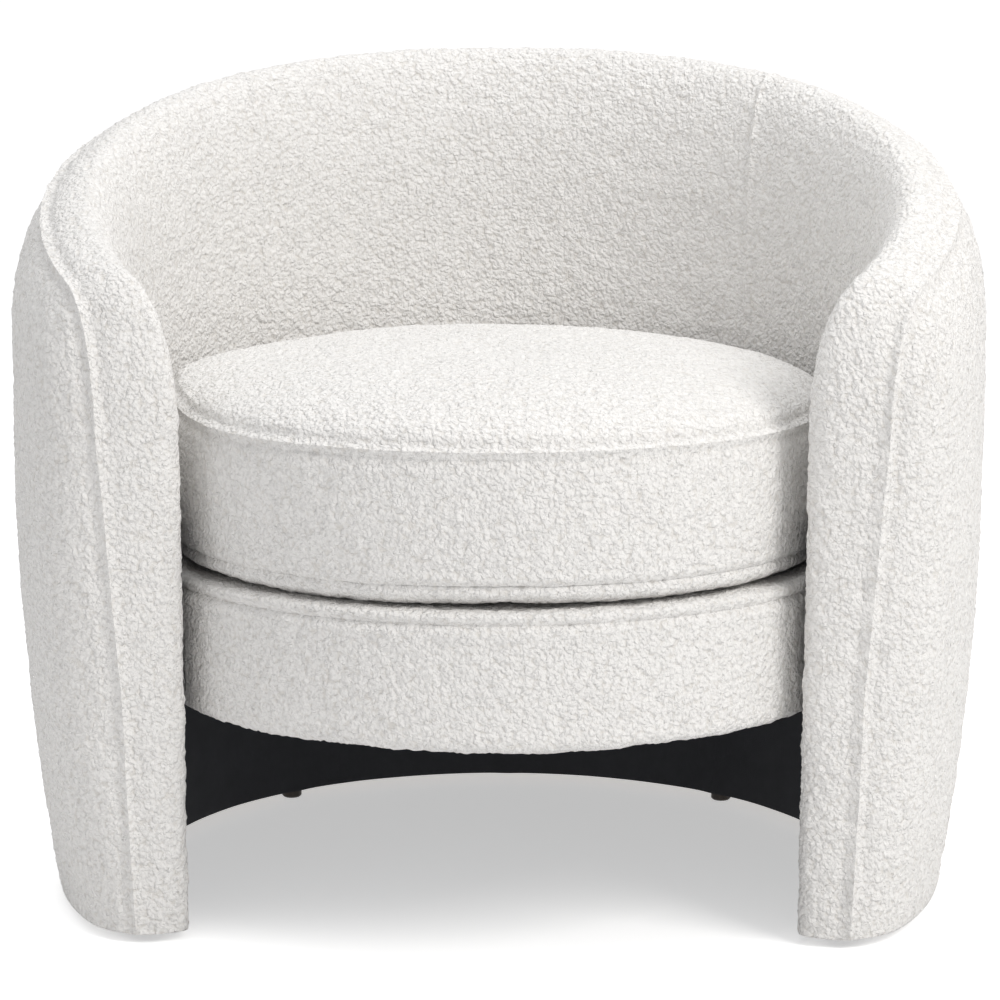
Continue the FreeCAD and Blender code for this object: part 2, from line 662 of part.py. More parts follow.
hoop_space = doc.addObject("Part::Cylinder", "hoop_space")
hoop_space.setExpression("Radius", f"({HOOP_IN} - {GAP} / 2)")
hoop_space.setExpression("Height", "sizes.seat_top")
rail_low = f"({HOOP_LOW} + sizes.rail_lift)"
rail_high = f"({RAIL_TOP_SIDE} - {rail_low})"
corner_middle = f"(sizes.rail_offset - sizes.rail_wide / 2 - sizes.corner_block / 2)"
corner_copies = []
for place, sign in (("front", "-1"), ("rear", "1")):
    bar = box(f"{place}_bar", f"2 * {SEAT}", "sizes.rail_wide", rail_high, "0", f"{sign} * sizes.rail_offset", rail_low)
    node(combined("Common", f"{place}_spring_rail", bar, hoop_space))
    for side, turn in SIDES.items():
        corner_x = f"({-turn} * ({HOOP_IN} - sizes.corner_block))"
        corner = box(f"{place}_{side}_corner", "2 * sizes.corner_block", "sizes.corner_block", f"{rail_high} * 0.7",
                     corner_x, f"{sign} * {corner_middle}", rail_low)
        corner_copies.append(combined("Common", f"{place}_{side}_block", corner, hoop_space))
corner_row = doc.addObject("Part::Compound", "corner_blocks")
corner_row.Links = corner_copies
node(corner_row)

WIRE_HEIGHT = f"({RAIL_TOP_SIDE} + sizes.clip_thick + {GAP} + sizes.wire_thick / 2)"


def spring_path():
    """A flat zigzag of straight cross runs joined by half circles, from the front rail to the rear one."""
    height = worth(WIRE_HEIGHT)
    turn_radius = worth("sizes.spring_loop") / 2
    half_run = worth("sizes.spring_wide") / 2 - turn_radius
    loops = int(worth("2 * sizes.rail_offset") / (2 * turn_radius))
    start = -loops * turn_radius
    edges = []
    for loop in range(loops + 1):
        along = start + 2 * loop * turn_radius
        side = 1 if loop % 2 == 0 else -1
        edges.append(Part.LineSegment(Vector(-side * half_run, along, height), Vector(side * half_run, along, height)))
        if loop < loops:
            tip = Vector(side * (half_run + turn_radius), along + turn_radius, height)
            end = Vector(side * half_run, along + 2 * turn_radius, height)
            edges.append(Part.Arc(Vector(side * half_run, along, height), tip, end))
    return Part.Wire([edge.toShape() for edge in edges])


def row_of(name, prototype, offsets):
    """Copies of one piece moved sideways and along, as separate solids of one node."""
    made = doc.addObject("Part::Compound", name)
    copies = []
    for across, along, turn in offsets:
        copy = doc.addObject("App::Link", f"{name}_copy")
        copy.LinkedObject = prototype
        swing(copy, turn)
        copy.setExpression("Placement.Base.x", across)
        copy.setExpression("Placement.Base.y", along)
        copies.append(copy)
    made.Links = copies
    return made


path = spring_path()
start = path.Vertexes[0].Point
profile = Part.Wire(Part.makeCircle(worth("sizes.wire_thick") / 2, start, Vector(1, 0, 0)))
spring = doc.addObject("Part::Feature", "spring")
spring.Shape = path.makePipeShell([profile], True, False)

half_count = int(worth("sizes.spring_count")) // 2
spring_places = [f"({index} * sizes.spring_pitch)" for index in range(-half_count, half_count + 1)]
node(row_of("seat_springs", spring, [(place, "0", "0") for place in spring_places]))

clip = body("spring_clip")
clip_under = RAIL_TOP_SIDE
clip_over = f"({WIRE_HEIGHT} + sizes.wire_thick / 2 + {GAP})"
reach = f"(sizes.wire_thick + 2 * {GAP})"
clip_corners = [(f"(-{reach})", clip_under), (f"({reach} + sizes.clip_thick)", clip_under)]
clip_corners += [(f"({reach} + sizes.clip_thick)", f"({clip_over} + sizes.clip_thick)")]
clip_corners += [(f"(-{reach})", f"({clip_over} + sizes.clip_thick)"), (f"(-{reach})", clip_over), (reach, clip_over)]
clip_corners += [(reach, f"({clip_under} + sizes.clip_thick)"), (f"(-{reach})", f"({clip_under} + sizes.clip_thick)")]
clip_pad = clip.newObject("PartDesign::Pad", "clip_plate")
clip_pad.Profile = sketch_on(clip, "YZ_Plane", clip_corners)
clip_pad.SideType = "Symmetric"
clip_pad.setExpression("Length", "sizes.clip_wide")
spring_end = worth("sizes.spring_loop") * int(worth("2 * sizes.rail_offset / sizes.spring_loop")) / 2
clip_places = [(place, f"({spring_end})", "0") for place in spring_places]
clip_places += [(place, f"(-{spring_end})", "180") for place in spring_places]
node(row_of("spring_clips", clip, clip_places))

node(ring("burlap", flat_disc(BURLAP_LOW, f"({BURLAP_LOW} + sizes.burlap_thick)", HOOP_OUT)))

lip = "sizes.lip_round"


def deck_outline(depth, low):
    """Outline from the axis to the deck's rounded edge, drawn in by depth."""
    edge = f"({SEAT} - {depth})"
    top = f"(sizes.seat_top - {depth})"
    corners = [("0", low), (edge, low), (edge, f"(sizes.seat_top - {lip})"), (f"({SEAT} - {lip})", top), ("0", top)]
    return corners, {2: f"({lip} - {depth})"}


node(ring("deck_foam", deck_outline(PADDING, DECK_FOAM_LOW)))
deck_outer = ring("deck_outer", deck_outline("0", SEAT_SEAM))
deck_inner = ring("deck_inner", deck_outline("sizes.cover_thick", f"({SEAT_SEAM} - 10)"))
node(combined("Cut", "deck_cover", deck_outer, deck_inner))

band_foam_outline = plain_ring(HOOP_LOW, f"({DECK_FOAM_LOW} - {GAP})", f"({HOOP_OUT} + {GAP})", BAND_FOAM_OUT)
node(ring("band_foam", band_foam_outline, "sizes.band_angle", turn=FRONT))
band_in = f"({SEAT} - sizes.cover_thick)"
band_floor = "(sizes.seat_bottom + sizes.cover_thick)"
band_corners = [(RETURN_IN, "sizes.seat_bottom"), (SEAT, "sizes.seat_bottom"), (SEAT, SEAT_SEAM)]
band_corners += [(band_in, SEAT_SEAM), (band_in, band_floor), (RETURN_IN, band_floor)]
node(ring("band_cover", (band_corners, {}), "sizes.band_angle", turn=FRONT))
dust_top = f"({HOOP_LOW} - {GAP} / 2)"
node(ring("dust_cover", flat_disc(f"({dust_top} - sizes.lining_thick)", dust_top, f"({RETURN_IN} - {GAP})")))

# ---------------------------------------------------------------- loose cushion

def cushion_edges(depth):
    """The three seams' corners, drawn in by depth, and the arcs that join them from the underside to the crown."""
    rim = f"({CUSHION} - {depth})"
    low_seam = f"({LOW_SEAM} + {depth})"
    top_seam = f"({TOP_SEAM} - {depth})"
    dome = "sizes.crown_rise"
    side = f"({top_seam} - {low_seam})"
    return {
        "middle": ("0", f"({CUSHION_LOW} + {depth})"),
        "flat": (f"({CUSHION} - sizes.cushion_tuck)", f"({CUSHION_LOW} + {depth})"),
        "low": (rim, low_seam),
        "top": (rim, top_seam),
        "crown": ("0", f"({CROWN} - {depth})"),
        "edge_arc": "sizes.cushion_edge",
        "side_arc": f"({side} ^ 2 / (8 * sizes.boxing_bulge) + sizes.boxing_bulge / 2)",
        "dome_arc": f"({rim} ^ 2 / (2 * {dome}) + {dome} / 2)",
    }


def cushion_piece(name, corners, arcs):
    """A piece of the cushion, turned about the cushion's own axis, which lies forward of the shell's."""
    owner = body(name)
    turned(owner, corners, arcs)
    return seated(owner)


def seated(item):
    """Moves an object that is drawn about the cushion's axis to that axis."""
    item.setExpression("Placement.Base.y", f"{CENTRE_SHIFT} - sizes.cushion_shift")
    NODES.append(item)
    return item


def shell_of(name, outer, inner):
    """The layer between two depths, closed all round."""
    a, b = cushion_edges(outer), cushion_edges(inner)
    corners = [a["middle"], a["flat"], a["low"], a["top"], a["crown"], b["crown"], b["top"], b["low"], b["flat"], b["middle"]]
    arcs = {1: a["edge_arc"], 2: a["side_arc"], 3: a["dome_arc"]}
    arcs.update({5: f"-{b['dome_arc']}", 6: f"-{b['side_arc']}", 7: f"-{b['edge_arc']}"})
    return cushion_piece(name, corners, arcs)


face, back = cushion_edges("0"), cushion_edges("sizes.panel_thick")
cushion_piece("cushion_top_panel", [face["top"], face["crown"], back["crown"], back["top"]],
              {0: face["dome_arc"], 2: f"-{back['dome_arc']}"})
cushion_piece("cushion_boxing", [face["low"], face["top"], back["top"], back["low"]],
              {0: face["side_arc"], 2: f"-{back['side_arc']}"})
cushion_piece("cushion_bottom_panel", [face["middle"], face["flat"], face["low"], back["low"], back["flat"], back["middle"]],
              {1: face["edge_arc"], 3: f"-{back['edge_arc']}"})

WRAP = f"(sizes.panel_thick + {GAP})"
CORE = f"({WRAP} + sizes.wrap_thick)"
shell_of("cushion_wrap", WRAP, CORE)
inside = cushion_edges(f"({CORE} + {GAP})")
cushion_piece("cushion_core", [inside[key] for key in ("middle", "flat", "low", "top", "crown")],
              {1: inside["edge_arc"], 2: inside["side_arc"], 3: inside["dome_arc"]})

# ---------------------------------------------------------------- zip of the cushion

TAPE_IN = f"({CUSHION} + sizes.boxing_bulge + 0.1)"
TAPE_OUT = f"({TAPE_IN} + sizes.tape_thick)"
TEETH_OUT = f"({TAPE_OUT} + sizes.teeth_thick)"
SLIDER_PLATE = f"({TEETH_OUT} + sizes.slider_gap)"
SLIDER_OUT = f"({SLIDER_PLATE} + sizes.slider_wall)"
SLIDER_REST = "(sizes.zip_angle - 5)"
PIVOT = f"({SLIDER_OUT} + sizes.lug_reach / 2)"


def zip_level(offset):
    """A height measured from the line of the zip."""
    return f"({ZIP_LINE} + {offset})"


tape = body("zip_tape")
for index, sign in enumerate((-1, 1)):
    near, far = sorted((f"({sign} * 0.5)", f"({sign} * sizes.tape_wide / 2)"), key=worth)
    turned(tape, plain_ring(zip_level(near), zip_level(far), TAPE_IN, TAPE_OUT)[0], None, "(sizes.zip_angle + 2)")
seated(tape)

teeth_low, teeth_high = zip_level("(-sizes.teeth_wide / 2)"), zip_level("sizes.teeth_wide / 2")
teeth = ring("zip_teeth", plain_ring(teeth_low, teeth_high, TAPE_OUT, TEETH_OUT), "sizes.zip_angle")
seated(teeth)

slider = body("slider_shoe")
flange_in = f"({TAPE_OUT} + sizes.slider_gap)"
grip = "(sizes.teeth_wide / 2 + sizes.slider_gap)"
shoe = f"({grip} + sizes.slider_wall)"
slider_corners = [(flange_in, zip_level(f"(-{shoe})")), (SLIDER_OUT, zip_level(f"(-{shoe})"))]
slider_corners += [(SLIDER_OUT, zip_level(shoe)), (flange_in, zip_level(shoe)), (flange_in, zip_level(grip))]
slider_corners += [(SLIDER_PLATE, zip_level(grip)), (SLIDER_PLATE, zip_level(f"(-{grip})"))]
slider_corners += [(flange_in, zip_level(f"(-{grip})"))]
slider_half = f"(asin(sizes.slider_long / 2 / {SLIDER_OUT}) / 1 deg)"
turned(slider, slider_corners, None, slider_half)

ear_gap = "(sizes.pull_wide + 2 * sizes.slider_gap)"
ears = []
for side, sign in SIDES.items():
    middle = f"({sign} * ({ear_gap} / 2 + sizes.slider_wall / 2))"
    ears.append(box(f"ear_{side}", "sizes.slider_wall", "sizes.lug_reach", "sizes.lug_long", middle, f"({PIVOT} - 0.2)",
                    zip_level("(-sizes.lug_long / 2)")))
pivot_long = f"({ear_gap} + sizes.slider_wall)"
pivot = rod("pull_pivot", "sizes.pivot_thick / 2", pivot_long, (f"(-{pivot_long} / 2)", PIVOT, ZIP_LINE), Vector(1, 0, 0))
lug = combined("Fuse", "zip_slider", slider, *ears, pivot)

eye = rod("pull_eye", "(sizes.pivot_thick / 2 + 1.1)", "sizes.pull_wide", ("(-sizes.pull_wide / 2)", PIVOT, ZIP_LINE),
          Vector(1, 0, 0))
tongue = box("pull_tongue", "sizes.pull_wide", "sizes.pull_thick", "sizes.pull_long", "0", PIVOT, zip_level("(-sizes.pull_long)"))
pull_blank = combined("Fuse", "pull_blank", eye, tongue)
bore = rod("pull_bore", "(sizes.pivot_thick / 2 + 0.15)", "2 * sizes.pull_wide", ("(-sizes.pull_wide)", PIVOT, ZIP_LINE),
           Vector(1, 0, 0))
pull = combined("Cut", "zip_pull", pull_blank, bore)
for item in (lug, pull):
    swing(item, SLIDER_REST)
    seated(item)

# ---------------------------------------------------------------- checks and files


def refuse_faults():
    """Stops if any object failed, or if a sub-part has no sound closed shape."""
    failed = [item.Name for item in doc.Objects if {"Invalid", "Error"} & set(item.State)]
    if failed:
        raise RuntimeError(f"failed objects: {failed}")
    for item in NODES:
        shape = item.Shape
        if shape.isNull() or not shape.isValid() or not shape.Solids or shape.Volume <= 0:
            raise RuntimeError(f"{item.Label} has no sound solid")


doc.recompute()
refuse_faults()
os.makedirs("parts", exist_ok=True)
for item in NODES:
    item.Shape.exportStep(f"parts/{item.Label}.step")
    print(f"{item.Label}: {len(item.Shape.Solids)} solids, {item.Shape.Volume / 1000:.1f} cm3")
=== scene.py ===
"""Blender scene of the barrel armchair: boucle covers with their seams, a loose cushion and studio light."""
import json
import math

import bpy
import numpy as np
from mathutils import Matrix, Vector, kdtree


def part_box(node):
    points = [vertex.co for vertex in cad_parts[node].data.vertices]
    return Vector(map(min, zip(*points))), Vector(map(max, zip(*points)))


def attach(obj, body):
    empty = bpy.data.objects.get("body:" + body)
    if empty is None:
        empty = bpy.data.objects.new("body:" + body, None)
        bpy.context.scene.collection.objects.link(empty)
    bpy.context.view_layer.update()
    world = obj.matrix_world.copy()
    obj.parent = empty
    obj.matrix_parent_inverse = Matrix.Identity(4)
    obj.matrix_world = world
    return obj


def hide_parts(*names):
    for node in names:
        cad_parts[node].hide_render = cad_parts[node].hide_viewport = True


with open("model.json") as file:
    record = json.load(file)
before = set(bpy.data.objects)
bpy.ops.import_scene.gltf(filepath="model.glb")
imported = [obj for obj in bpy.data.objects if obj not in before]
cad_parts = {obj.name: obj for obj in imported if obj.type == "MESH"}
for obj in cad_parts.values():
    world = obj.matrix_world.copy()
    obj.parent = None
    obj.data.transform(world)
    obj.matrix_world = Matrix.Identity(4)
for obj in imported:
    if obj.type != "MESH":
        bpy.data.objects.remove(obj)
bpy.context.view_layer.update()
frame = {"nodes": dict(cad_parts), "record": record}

# ---------------------------------------------------------------- places, read from the frame

shell_low, shell_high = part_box("outside_cover")
back_low, back_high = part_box("inside_back_cover")
seat_low, seat_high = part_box("band_cover")
deck_low, deck_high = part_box("deck_cover")
boxing_low, boxing_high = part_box("cushion_boxing")
top_low, top_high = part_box("cushion_top_panel")
under_low, under_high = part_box("cushion_bottom_panel")
lining_low, lining_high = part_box("cambric_lining")
dust_low, dust_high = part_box("dust_cover")

OUTER = shell_high.x - 0.0010                  # the nubs stand out to the CAD's own surface
AXIS_Y = shell_high.y - shell_high.x           # the shell's upright axis
RIM_BACK = back_high.z - 0.0005
SEAT_R = seat_high.x - 0.0012
CUSHION_Y = (boxing_low.y + boxing_high.y) / 2
CUSHION_R = under_high.x

# ---------------------------------------------------------------- shape of the shell

RIM_FRONT = 0.5192
RIM_CURVE = 1.20
FOOT_R = OUTER - 0.0284
BULGE_Z = 0.357
INNER_R = 0.3045
LINING_R = 0.3003                              # the frame's ribs stand just behind it
CREST_R = 0.3425
ROUND_OUT = 0.0935
ROUND_IN = 0.1200
ROUND_POWER = 2.08
FRONT = 0.2090
NOSE = 0.0380
NOSE_POWER = 2.5
FLOOR_Z = 0.0080
WELL = max(ROUND_OUT, ROUND_IN)
PANEL_ANGLE = math.radians(45)
STEP = 0.0028
BULGE_ARC = ((BULGE_Z - FLOOR_Z) ** 2 + (OUTER - FOOT_R) ** 2) / (2 * (OUTER - FOOT_R))


def rim_height(y):
    """Height of the rim at a place from the axis, y towards the back."""
    middle = (INNER_R + OUTER) / 2
    return RIM_BACK - (RIM_BACK - RIM_FRONT) * np.clip((middle - y) / (middle + FRONT), 0, 2) ** RIM_CURVE


def outer_radius(z):
    """Radius of the outside at a height, below its rounding."""
    fall = BULGE_Z - np.minimum(z, BULGE_Z)
    return OUTER - BULGE_ARC + np.sqrt(BULGE_ARC ** 2 - fall ** 2)


def seam_share(z):
    """Where the cover's seam lies on an arm front, from 0 at the inside to 1 at the outside."""
    return np.interp(z, [0.0, 0.12, 0.20, 0.28, 0.36, 0.43], [0.50, 0.545, 0.565, 0.62, 0.67, 0.725])


# ---------------------------------------------------------------- relief

def hashed(cells, salt):
    """A repeatable number from 0 to 1 for each whole-numbered cell."""
    mixed = cells[..., 0] * 73856093 ^ cells[..., 1] * 19349663 ^ cells[..., 2] * 83492791 ^ salt * 2654435761
    mixed = (mixed ^ (mixed >> 13)) * 1274126177 & 0xFFFFFFFF
    mixed = (mixed ^ (mixed >> 16)) * 2246822519 & 0xFFFFFFFF
    return (mixed ^ (mixed >> 15)) % 100003 / 100003.0


def nubs(points, pitch, salt):
    """Height from 0 to 1 of round nubs scattered about one to a cell of this size."""
    scaled = points / pitch
    base = np.floor(scaled).astype(np.int64)
    height = np.zeros(len(points))
    for offset in np.ndindex(3, 3, 3):
        cell = base + np.array(offset) - 1
        centre = cell + np.stack([hashed(cell, salt + k) for k in range(3)], axis=1)
        wide = 0.55 + 0.30 * hashed(cell, salt + 5)
        away = np.linalg.norm(scaled - centre, axis=1) / wide
        height = np.maximum(height, np.sqrt(np.clip(1 - away ** 2, 0, 1)) * (0.5 + 0.5 * hashed(cell, salt + 7)))
    return height


def waves(points, length, salt):
    """Smooth noise from -1 to 1 with about this wavelength."""
    scaled = points / length
    base = np.floor(scaled).astype(np.int64)
    part = scaled - base
    part = part * part * (3 - 2 * part)
    total = np.zeros(len(points))
    for corner in np.ndindex(2, 2, 2):
        weight = np.prod(np.where(np.array(corner), part, 1 - part), axis=1)
        total += weight * hashed(base + np.array(corner), salt)
    return total * 2 - 1


def pile(points):
    """The boucle's height over its backing."""
    return 0.0014 * nubs(points, 0.0058, 11) + 0.0008 * nubs(points, 0.0036, 41) + 0.0006 * waves(points, 0.016, 71)


# ---------------------------------------------------------------- meshes

def grid_quads(rows, columns, closed=False):
    """Quads of a grid stored row by row, joined round its columns if closed."""
    last = columns if closed else columns - 1
    row, column = np.meshgrid(np.arange(rows - 1), np.arange(last), indexing="ij")
    following = (column + 1) % columns
    quads = [row * columns + column, row * columns + following, (row + 1) * columns + following]
    quads.append((row + 1) * columns + column)
    return np.stack([q.ravel() for q in quads], axis=1)


def welded(points, quads):
    """Points that coincide become one, and faces that close up are left out."""
    _, first, back = np.unique(np.round(points * 2e6).astype(np.int64), axis=0, return_index=True, return_inverse=True)
    quads = back.ravel()[quads]
    alive = (quads[:, 0] != quads[:, 2]) & (quads[:, 1] != quads[:, 3])
    return points[first], quads, alive


def normals_of(points, quads):
    """Unit normals at the points, weighted by the area of the faces round them."""
    across = np.cross(points[quads[:, 2]] - points[quads[:, 0]], points[quads[:, 3]] - points[quads[:, 1]])
    total = np.zeros_like(points)
    for corner in range(4):
        np.add.at(total, quads[:, corner], across)
    return total / np.maximum(np.linalg.norm(total, axis=1, keepdims=True), 1e-12)


def mesh_piece(name, points, quads, material, body):
    """A smooth mesh object of these faces, which rides on a body."""
    used, index = np.unique(quads, return_inverse=True)
    index = index.reshape(quads.shape)
    faces = []
    for face in index.tolist():
        ring = list(dict.fromkeys(face))
        if len(ring) > 2:
            faces.append(ring)
    mesh = bpy.data.meshes.new(name)
    mesh.from_pydata(points[used].tolist(), [], faces)
    mesh.update()
    mesh.polygons.foreach_set("use_smooth", [True] * len(mesh.polygons))
    mesh.materials.append(material)
    made = bpy.data.objects.new(name, mesh)
    bpy.context.scene.collection.objects.link(made)
    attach(made, body)
    return made


def nearness(points, line, reach):
    """How far each point is from a line of points, out to a reach."""
    tree = kdtree.KDTree(len(line))
    for number, place in enumerate(line):
        tree.insert(place, number)
    tree.balance()
    away = np.full(len(points), reach * 4)
    low, high = line.min(axis=0) - reach, line.max(axis=0) + reach
    for k in np.flatnonzero(((points > low) & (points < high)).all(axis=1)):
        away[k] = tree.find(points[k])[2]
    return away


def groove(away, depth, width):
    """A sewn seam: the cloth dips to the stitch line and swells a little beside it."""
    dip = -depth * np.exp(-(away / width) ** 2)
    return dip + 0.35 * depth * np.exp(-((away - 2.6 * width) / (1.3 * width)) ** 2)


# ---------------------------------------------------------------- materials

def new_material(name, colour, roughness, metallic=0.0):
    """A material with its shader, and its node tree to add nodes to."""
    made = bpy.data.materials.new(name)
    made.use_nodes = True
    tree = made.node_tree
    shader = tree.nodes["Principled BSDF"]
    shader.inputs["Base Color"].default_value = (*colour, 1)
    shader.inputs["Roughness"].default_value = roughness
    shader.inputs["Metallic"].default_value = metallic
    return made, tree, shader


def add(tree, kind, **values):
    """A node with its inputs and settings given by name."""
    node = tree.nodes.new(kind)
    for name, value in values.items():
        if name.startswith("in_"):
            node.inputs[name[3:].replace("_", " ")].default_value = value
        else:
            setattr(node, name, value)
    return node


def object_place(tree, stretch=(1, 1, 1)):
    """Object coordinates, stretched along the axes."""
    place = add(tree, "ShaderNodeTexCoord")
    mapping = add(tree, "ShaderNodeMapping", in_Scale=stretch)
    tree.links.new(place.outputs["Object"], mapping.inputs["Vector"])
    return mapping.outputs["Vector"]


def ramp(tree, value, stops):
    """A colour ramp from (place, colour) stops."""
    node = add(tree, "ShaderNodeValToRGB")
    tree.links.new(value, node.inputs["Fac"])
    elements = node.color_ramp.elements
    while len(elements) < len(stops):
        elements.new(0.5)
    for element, (place, colour) in zip(elements, stops):
        element.position = place
        element.color = (*colour, 1)
    return node.outputs["Color"]


def bump(tree, shader, height, distance, strength=1.0, under=None):
    """Adds a bump to the shader's normal."""
    node = add(tree, "ShaderNodeBump", in_Strength=strength, in_Distance=distance)
    tree.links.new(height, node.inputs["Height"])
    if under is not None:
        tree.links.new(under, node.inputs["Normal"])
    tree.links.new(node.outputs["Normal"], shader.inputs["Normal"])
    return node.outputs["Normal"]


def boucle_material(name, light, dark):
    """Ivory looped yarn: curled nubs with painted shade darkening the gaps between them, and loose fibres."""
    made, tree, shader = new_material(name, light, 0.92)
    shader.inputs["Sheen Weight"].default_value = 0.22
    shader.inputs["Sheen Roughness"].default_value = 0.55
    shader.inputs["Specular IOR Level"].default_value = 0.25
    place = object_place(tree)
    warp = add(tree, "ShaderNodeTexNoise", in_Scale=160.0, in_Detail=2.0, in_Roughness=0.55)
    tree.links.new(place, warp.inputs["Vector"])
    centred = add(tree, "ShaderNodeVectorMath", operation="SUBTRACT")
    centred.inputs[1].default_value = (0.5, 0.5, 0.5)
    tree.links.new(warp.outputs["Color"], centred.inputs[0])
    curled = add(tree, "ShaderNodeVectorMath", operation="MULTIPLY_ADD")
    curled.inputs[1].default_value = (0.0052, 0.0052, 0.0052)
    tree.links.new(centred.outputs["Vector"], curled.inputs[0])
    tree.links.new(place, curled.inputs[2])
    loops = add(tree, "ShaderNodeTexVoronoi", feature="SMOOTH_F1", in_Scale=270.0, in_Smoothness=0.35)
    tree.links.new(curled.outputs["Vector"], loops.inputs["Vector"])
    yarn = add(tree, "ShaderNodeTexVoronoi", feature="F1", in_Scale=520.0)
    tree.links.new(curled.outputs["Vector"], yarn.inputs["Vector"])
    fibre = add(tree, "ShaderNodeTexNoise", in_Scale=1500.0, in_Detail=3.0, in_Roughness=0.6)
    tree.links.new(place, fibre.inputs["Vector"])
    deep = add(tree, "ShaderNodeMath", operation="MULTIPLY_ADD")
    deep.inputs[1].default_value = 0.30
    tree.links.new(yarn.outputs["Distance"], deep.inputs[0])
    tree.links.new(loops.outputs["Distance"], deep.inputs[2])
    # painted shade: the colour turns from the ivory to the darker tone away from the nub centres, in the gaps between
    # the loops where shade falls
    colour = ramp(tree, deep.outputs["Value"], [(0.35, light), (0.75, light), (1.0, dark)])
    tree.links.new(colour, shader.inputs["Base Color"])
    lift = add(tree, "ShaderNodeMath", operation="SUBTRACT")
    lift.inputs[0].default_value = 1.2
    tree.links.new(deep.outputs["Value"], lift.inputs[1])
    coarse = bump(tree, shader, lift.outputs["Value"], 0.0030, 0.85)
    bump(tree, shader, fibre.outputs["Fac"], 0.0004, 0.5, coarse)
    return made


def cambric_material(name, light, dark):
    """Black spun-bonded cloth: pressed dots over a cloudy tone, a little chalky."""
    made, tree, shader = new_material(name, light, 0.78)
    place = object_place(tree)
    dots = add(tree, "ShaderNodeTexVoronoi", in_Scale=620.0, in_Randomness=0.25)
    tree.links.new(place, dots.inputs["Vector"])
    cloud = add(tree, "ShaderNodeTexNoise", in_Scale=14.0, in_Detail=5.0, in_Roughness=0.6)
    tree.links.new(place, cloud.inputs["Vector"])
    tree.links.new(ramp(tree, cloud.outputs["Fac"], [(0.30, dark), (0.70, light)]), shader.inputs["Base Color"])
    bump(tree, shader, dots.outputs["Distance"], 0.0003, 0.5)
    return made


def wood_material(name, light, dark, stretch, grain):
    """Wood with grain along the axis that is stretched least."""
    made, tree, shader = new_material(name, light, 0.62)
    place = object_place(tree, stretch)
    rings = add(tree, "ShaderNodeTexNoise", in_Scale=grain, in_Detail=6.0, in_Roughness=0.62, in_Distortion=0.6)
    tree.links.new(place, rings.inputs["Vector"])
    stops = [(0.32, dark), (0.50, light), (0.66, tuple(0.5 * (a + b) for a, b in zip(light, dark)))]
    tree.links.new(ramp(tree, rings.outputs["Fac"], stops), shader.inputs["Base Color"])
    bump(tree, shader, rings.outputs["Fac"], 0.0004, 0.5)
    return made


def plain_material(name, light, dark, roughness, metallic, scale, depth):
    """A fine mottled finish for metal, plastic and plain cloth."""
    made, tree, shader = new_material(name, light, roughness, metallic)
    place = object_place(tree)
    mottle = add(tree, "ShaderNodeTexNoise", in_Scale=scale, in_Detail=4.0, in_Roughness=0.6)
    tree.links.new(place, mottle.inputs["Vector"])
    tree.links.new(ramp(tree, mottle.outputs["Fac"], [(0.35, dark), (0.65, light)]), shader.inputs["Base Color"])
    bump(tree, shader, mottle.outputs["Fac"], depth, 0.5)
    return made


def weave_material(name, light, dark, threads):
    """Plain woven cloth."""
    made, tree, shader = new_material(name, light, 0.9)
    place = object_place(tree)
    waves_x = add(tree, "ShaderNodeTexWave", bands_direction="X", in_Scale=threads, in_Distortion=0.6)
    waves_z = add(tree, "ShaderNodeTexWave", bands_direction="Z", in_Scale=threads, in_Distortion=0.6)
    both = add(tree, "ShaderNodeMath", operation="MULTIPLY")
    for number, wave in enumerate((waves_x, waves_z)):
        tree.links.new(place, wave.inputs["Vector"])
        tree.links.new(wave.outputs["Fac"], both.inputs[number])
    tree.links.new(ramp(tree, both.outputs["Value"], [(0.0, dark), (0.7, light)]), shader.inputs["Base Color"])
    bump(tree, shader, both.outputs["Value"], 0.0003, 0.6)
    return made


# the second colour is painted shade for the gaps between the bouclé's nubs
boucle = boucle_material("ivory_boucle", (0.875, 0.860, 0.840), (0.77, 0.745, 0.71))
cambric = cambric_material("black_cambric", (0.070, 0.073, 0.082), (0.040, 0.042, 0.048))
finishes = {
    "plywood": wood_material("raw_plywood", (0.72, 0.56, 0.38), (0.58, 0.42, 0.27), (1, 1, 7), 22),
    "beech": wood_material("raw_beech", (0.66, 0.47, 0.31), (0.52, 0.34, 0.21), (1, 7, 7), 26),
    "hardboard": plain_material("bent_hardboard", (0.36, 0.24, 0.15), (0.27, 0.17, 0.10), 0.6, 0.0, 240, 0.0004),
    "foam": plain_material("yellow_foam", (0.90, 0.86, 0.70), (0.80, 0.74, 0.55), 0.95, 0.0, 700, 0.0006),
    "fibre_wrap": plain_material("white_fibre", (0.93, 0.93, 0.92), (0.84, 0.84, 0.83), 0.95, 0.0, 300, 0.001),
    "burlap": weave_material("jute_burlap", (0.55, 0.43, 0.28), (0.34, 0.25, 0.15), 160),
    "glide_plastic": plain_material("dark_glide", (0.060, 0.045, 0.035), (0.035, 0.026, 0.020), 0.45, 0.0, 420, 0.0002),
    "zinc_steel": plain_material("zinc_steel", (0.62, 0.62, 0.60), (0.50, 0.50, 0.49), 0.34, 1.0, 180, 0.0001),
    "zip_tape": weave_material("woven_zip_tape", (0.80, 0.79, 0.76), (0.62, 0.61, 0.58), 420),
    "zip_nylon": plain_material("nylon_coil", (0.82, 0.81, 0.78), (0.66, 0.65, 0.62), 0.35, 0.0, 900, 0.0003),
    "zip_metal": plain_material("nickel_zip", (0.70, 0.70, 0.70), (0.58, 0.58, 0.58), 0.24, 1.0, 260, 0.0001),
    "boucle": boucle,
    "black_cambric": cambric,
}
slots = {part["node"]: part["material_slot"] for part in frame["record"]["subparts"]}
for node, carried in frame["nodes"].items():
    if not carried.material_slots:
        carried.data.materials.append(finishes[slots[node]])
    for place in carried.material_slots:
        place.material = finishes[slots[node]]

# ---------------------------------------------------------------- the shell's covers

